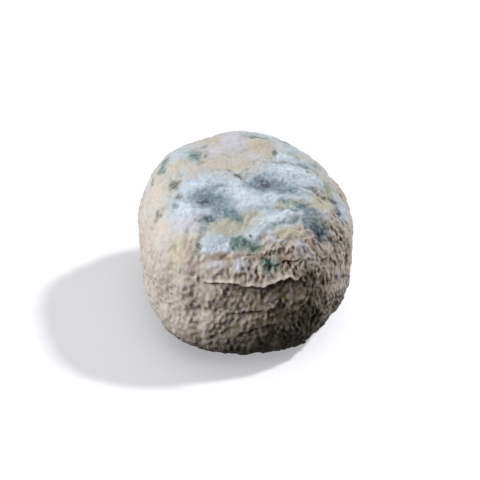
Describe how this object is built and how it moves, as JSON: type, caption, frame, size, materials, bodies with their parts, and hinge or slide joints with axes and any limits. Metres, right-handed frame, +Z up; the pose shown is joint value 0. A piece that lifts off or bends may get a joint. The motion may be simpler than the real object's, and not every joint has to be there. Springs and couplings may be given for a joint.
{
  "type": "crottin goat cheese",
  "caption": "Small matured goat cheese: an uneven rounded drum with a crinkled rind, blue and white mould on its top, and a flat foot.",
  "frame": {"origin": "on the table, under the middle of the cheese's outer box", "axes": "+Z up through the cheese, +Y from the front, where the rind's fold hangs, to the back, +X to the right"},
  "size_m": [0.0498, 0.052, 0.0363],
  "materials": {
    "rind": "matt crinkled cheese rind, pinkish beige with brown hollows, blue and white mould on the top"
  },
  "bodies": {
    "root": {"crottin": "rind"}
  },
  "joints": []
}
